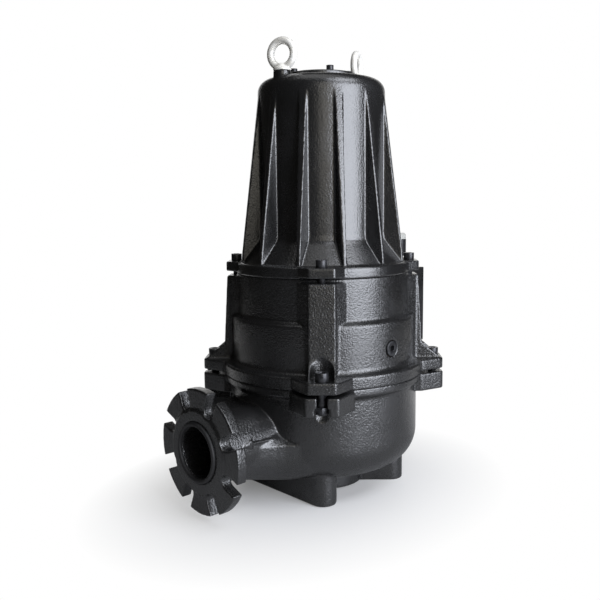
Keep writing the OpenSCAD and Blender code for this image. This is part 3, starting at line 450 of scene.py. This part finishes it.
def neck_marks():
    """The mould's parting line along the neck's near side, with a barb at its flange end."""
    return (
        raised_bar("parting_line", (55.0, -222.0, 121.0), (55.5, -150.0, 119.0), 3.0, 5.0),
        raised_bar("barb_up", (55.0, -224.0, 120.5), (54.5, -209.0, 126.0), 2.6, 4.5),
        raised_bar("barb_down", (55.0, -224.0, 120.5), (55.5, -209.0, 115.0), 2.6, 4.5),
    )


def castings():
    cast_copy("motor_housing", 1.25, 12, 195000)
    cast_copy("oil_casing", 1.35, 8, 195000)
    cast_copy("volute_casing", 1.35, 9, 195000, neck_marks())
    cast_copy("cable_box", 1.2, 4, 90000)
    cast_copy("top_cover", 0.9, 4, 90000)


def eyebolts():
    for node in ("front_eyebolt", "rear_eyebolt"):
        cast_copy(node, 0.6, 8, 60000)


def fasteners():
    bevelled_copy("upper_cap_screws", 0.7)
    bevelled_copy("lower_cap_screws", 0.8)
    bevelled_copy("top_cover_screws", 0.5)
    bevelled_copy("cable_box_screws", 0.5)
    bevelled_copy("lower_nuts", 0.6)
    bevelled_copy("oil_plugs", 0.6)
    bevelled_copy("gland_body", 0.6)
    bevelled_copy("gland_nut", 0.8)


castings()
eyebolts()
fasteners()


# Camera, floor and light

AZIMUTH = math.radians(45.71)
BACKDROP_WAY = (-math.sin(AZIMUTH), math.cos(AZIMUTH), 0.0)


def camera():
    """The photograph's camera, worked out from the joint rings, the flange and the feet."""
    distance, azimuth, height = 1305.8 * MM, AZIMUTH, 495.76 * MM
    pitch, roll = math.radians(7.66), math.radians(-0.41)
    focal_px, shift_px, image_px = 747.93, 22.88, 600.0
    ahead = Vector(BACKDROP_WAY)
    right = Vector((math.cos(azimuth), math.sin(azimuth), 0.0))
    up = Vector((0.0, 0.0, 1.0))
    look = ahead * math.cos(pitch) - up * math.sin(pitch)
    crown = up * math.cos(pitch) + ahead * math.sin(pitch)
    side = right * math.cos(roll) + crown * math.sin(roll)
    top = crown * math.cos(roll) - right * math.sin(roll)
    data = bpy.data.cameras.new("photo_camera")
    data.sensor_width = 36.0
    data.lens = focal_px * data.sensor_width / image_px
    data.shift_x = -shift_px / image_px
    data.clip_start, data.clip_end = 0.05, 50.0
    obj = bpy.data.objects.new("photo_camera", data)
    scene.collection.objects.link(obj)
    matrix = Matrix((side, top, -look)).transposed().to_4x4()
    matrix.translation = (distance * math.sin(azimuth), -distance * math.cos(azimuth), height)
    obj.matrix_world = matrix
    scene.camera = obj


def floor():
    """A pale floor that keeps the shadow near the object and fades to the white background."""
    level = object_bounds()[0].z
    radius, gap = 1.3, 0.3 * MM
    bpy.ops.object.select_all(action="DESELECT")
    bpy.ops.mesh.primitive_circle_add(vertices=96, radius=radius, fill_type="NGON", location=(0, 0, 0))
    obj = bpy.context.object
    obj.name = "floor"
    obj.data.transform(Matrix.Translation((0, 0, level - gap)))
    s = Surface("studio_floor", (0.82, 0.82, 0.82), 0.6)
    s.set("Roughness", 0.6 + (s.noise(400.0, 2.0, 0.5) - 0.5) * 0.1)
    camera_ray, glossy_ray, clear_ray = s.shown()
    coords = s.node("ShaderNodeTexCoord")
    ahead = s.node(
        "ShaderNodeVectorMath",
        {"operation": "DOT_PRODUCT"},
        {0: coords.outputs["Object"], 1: BACKDROP_WAY},
    )
    behind = Term(s, ahead.outputs["Value"]).clamped(0.1, 0.7)
    seen = (camera_ray + clear_ray + glossy_ray * behind).clamped(0.0, 1.0)
    bounce_grey, shown_grey = (0.44, 0.44, 0.44), (0.84, 0.84, 0.84)
    s.set("Base Color", s.two_colors(seen, bounce_grey, shown_grey))
    fade_centre, fade_scale = (0, 0.1, 0), (2.6, 2.1, 1)
    spread = s.node(
        "ShaderNodeMapping",
        {},
        {"Vector": coords.outputs["Object"], "Location": fade_centre, "Scale": fade_scale},
    )
    length = s.node("ShaderNodeVectorMath", {"operation": "LENGTH"}, {0: spread.outputs[0]})
    least_white = 0.15
    away = Term(s, length.outputs["Value"]).clamped(0.25, 0.85) * (1.0 - least_white) + least_white
    white = s.node("ShaderNodeEmission", {}, {"Color": (1.0, 1.0, 1.0, 1.0), "Strength": 1.0})
    mix = s.node("ShaderNodeMixShader", {}, {0: away * seen, 1: s.shader.outputs[0], 2: white.outputs[0]})
    s.tree.links.new(mix.outputs[0], s.output.inputs["Surface"])
    dress(obj, s.material)
    obj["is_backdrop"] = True


def lamp(name, place, aim, size, power, color):
    data = bpy.data.lights.new(name, "AREA")
    data.shape = "RECTANGLE"
    data.size, data.size_y = size
    data.energy = power
    data.color = color
    obj = bpy.data.objects.new(name, data)
    scene.collection.objects.link(obj)
    obj.location = place
    obj.visible_camera = False
    obj.rotation_euler = (Vector(aim) - Vector(place)).to_track_quat("-Z", "Y").to_euler()


def world():
    """White where the background shows. Gloss sees it only behind the object, as a hung backdrop."""
    made = bpy.data.worlds.new("studio")
    scene.world = made
    sheet = Sheet(made)
    camera_ray, glossy_ray, clear_ray = sheet.shown()
    coords = sheet.node("ShaderNodeTexCoord")
    facing = sheet.node(
        "ShaderNodeVectorMath", {"operation": "DOT_PRODUCT"},
        {0: coords.outputs["Generated"], 1: BACKDROP_WAY},
    )
    backdrop = Term(sheet, facing.outputs["Value"]).clamped(0.80, 0.97)
    seen = (camera_ray + clear_ray + glossy_ray * backdrop).clamped(0.0, 1.0)
    fill = sheet.node("ShaderNodeBackground", {}, {"Color": (1.0, 0.97, 0.93, 1.0), "Strength": 0.025})
    white = sheet.node("ShaderNodeBackground", {}, {"Color": (1.0, 1.0, 1.0, 1.0), "Strength": 1.0})
    mix = sheet.node("ShaderNodeMixShader", {}, {0: seen, 1: fill.outputs[0], 2: white.outputs[0]})
    sheet.node("ShaderNodeOutputWorld", {}, {"Surface": mix.outputs[0]})


COOL, WARM, PLAIN = (0.88, 0.915, 1.0), (1.0, 0.95, 0.84), (1.0, 1.0, 1.0)
LAMPS = (
    # name, place, aim, size, watts, colour
    ("right_softbox", (2.2, 0.08, 0.72), (0.0, 0.0, 0.35), (1.9, 1.7), 72.0, COOL),
    ("front_fill", (1.95, -1.42, 1.1), (0.0, 0.0, 0.35), (1.0, 1.6), 5.2, WARM),
    ("right_high", (1.55, 0.1, 2.35), (0.0, 0.0, 0.45), (1.6, 1.0), 26.0, (0.90, 0.93, 1.0)),
    ("rear_fill", (-1.6, 1.75, 1.2), (0.0, 0.0, 0.35), (1.6, 1.6), 4.0, (1.0, 0.98, 0.95)),
    ("top_soft", (0.1, -0.3, 2.6), (0.0, 0.0, 0.2), (1.6, 1.6), 6.0, PLAIN),
)

camera()
floor()
world()
for setup in LAMPS:
    lamp(*setup)

scene.view_settings.view_transform = "Standard"
